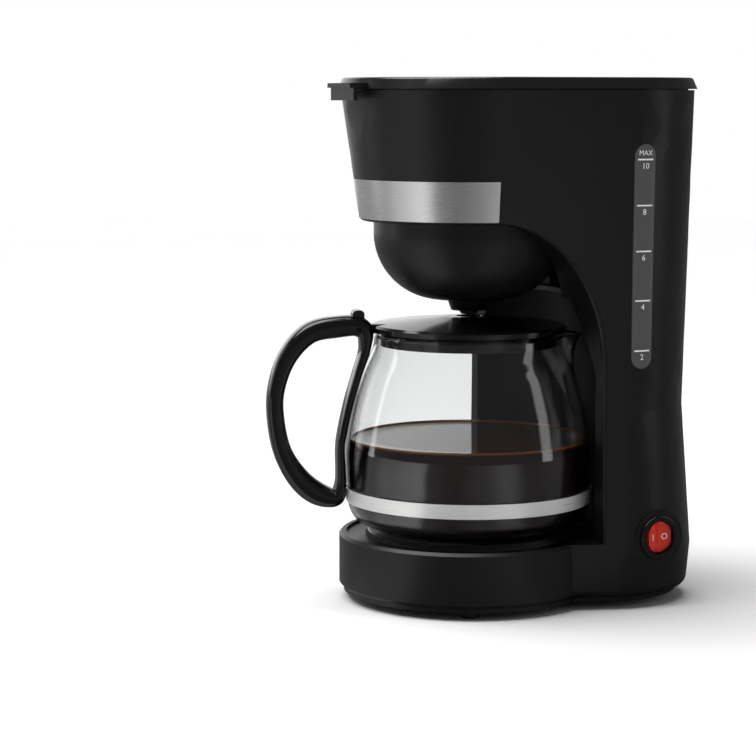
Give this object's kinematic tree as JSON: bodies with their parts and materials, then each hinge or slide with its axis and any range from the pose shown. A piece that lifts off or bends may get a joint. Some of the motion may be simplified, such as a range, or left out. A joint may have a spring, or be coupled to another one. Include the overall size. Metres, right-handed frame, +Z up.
{
  "type": "drip coffee maker",
  "caption": "Drip coffee maker with lift-up lid, brushed trim band, level window, round rocker switch, hot plate and a glass carafe with handle and hinged lid.",
  "frame": {"origin": "middle of the bounding box in plan, on the surface the feet stand on", "axes": "+Z up; -Y is the front, where the carafe comes out; the level window and the switch face +X"},
  "size_m": [0.1578, 0.231, 0.2816],
  "materials": {
    "housing": "fine satin moulded black",
    "lid": "satin black, glossier rim",
    "gloss_black": "gloss black",
    "inner_plastic": "plain black",
    "tank_plastic": "frosted grey",
    "rubber": "soft black",
    "silicone": "milky",
    "screw_steel": "zinc plated",
    "trim_steel": "brushed round the curve",
    "cast_aluminium": "as cast",
    "mesh_gold": "woven mesh",
    "white_sleeve": "white",
    "window": "translucent grey",
    "marks": "white print",
    "rocker_red": "translucent red",
    "plate_coating": "dark non-stick",
    "glass": "clear"
  },
  "bodies": {
    "root": {"lower_housing": "housing", "bottom_cover": "housing", "rubber_feet": "rubber", "bottom_screws": "screw_steel", "upper_housing": "housing", "lid_hinge_pins": "screw_steel", "brew_bowl": "housing", "valve_spring": "screw_steel", "water_tank": "tank_plastic", "heating_element": "cast_aluminium", "element_clamp": "screw_steel", "thermostat": "screw_steel", "thermal_fuses": "white_sleeve", "check_valve": "inner_plastic", "tank_hose": "silicone", "inlet_hose": "silicone", "riser_tube": "silicone", "riser_nozzle": "tank_plastic", "hose_clamps": "screw_steel", "level_window": "window", "level_marks": "marks", "switch_bezel": "gloss_black", "switch_body": "gloss_black", "cord_inlet_bushing": "rubber", "terminal_block": "white_sleeve", "hot_plate": "plate_coating", "hot_plate_seal": "rubber", "trim_band": "trim_steel"},
    "top_lid": {"top_lid": "lid", "shower_channel": "inner_plastic"},
    "filter_basket": {"filter_basket": "inner_plastic", "mesh_filter": "mesh_gold", "basket_handle": "inner_plastic"},
    "drip_valve": {"valve_plunger": "inner_plastic", "valve_seal": "rubber"},
    "rocker": {"switch_rocker": "rocker_red"},
    "carafe": {"carafe_glass": "glass", "carafe_band": "trim_steel", "carafe_handle": "gloss_black", "lid_hinge_pin": "gloss_black"},
    "carafe_lid": {"carafe_lid": "gloss_black"}
  },
  "joints": [
    {"name": "top_lid_hinge", "type": "hinge", "parent": "root", "child": "top_lid", "pos_m": [-0.0003, 0.11187, 0.276], "axis": [-1, 0, 0], "range_deg": [0, 95]},
    {"name": "basket_lift", "type": "slide", "parent": "root", "child": "filter_basket", "axis": [0, 0, 1], "range_m": [0, 0.064]},
    {"name": "carafe_slide", "type": "slide", "parent": "root", "child": "carafe", "axis": [0, -1, 0], "range_m": [0, 0.2]},
    {"name": "valve_drop", "type": "slide", "parent": "root", "child": "drip_valve", "axis": [0, 0, -1], "range_m": [0, 0.0046], "deforming": ["valve_spring"]},
    {"name": "rocker_tilt", "type": "hinge", "parent": "root", "child": "rocker", "pos_m": [0.0723, 0.06387, 0.038], "axis": [0, 0, 1], "range_deg": [-14, 0]},
    {"name": "carafe_lid_hinge", "type": "hinge", "parent": "carafe", "child": "carafe_lid", "pos_m": [-0.02116, -0.06645, 0.1475], "axis": [0.9397, -0.342, 0], "range_deg": [0, 0.6]}
  ],
  "couplings": [
    {"joint": "basket_lift", "follows": "top_lid_hinge", "m_per_rad": 0.038},
    {"joint": "valve_drop", "follows": "carafe_slide", "ratio": 0.0225}
  ]
}
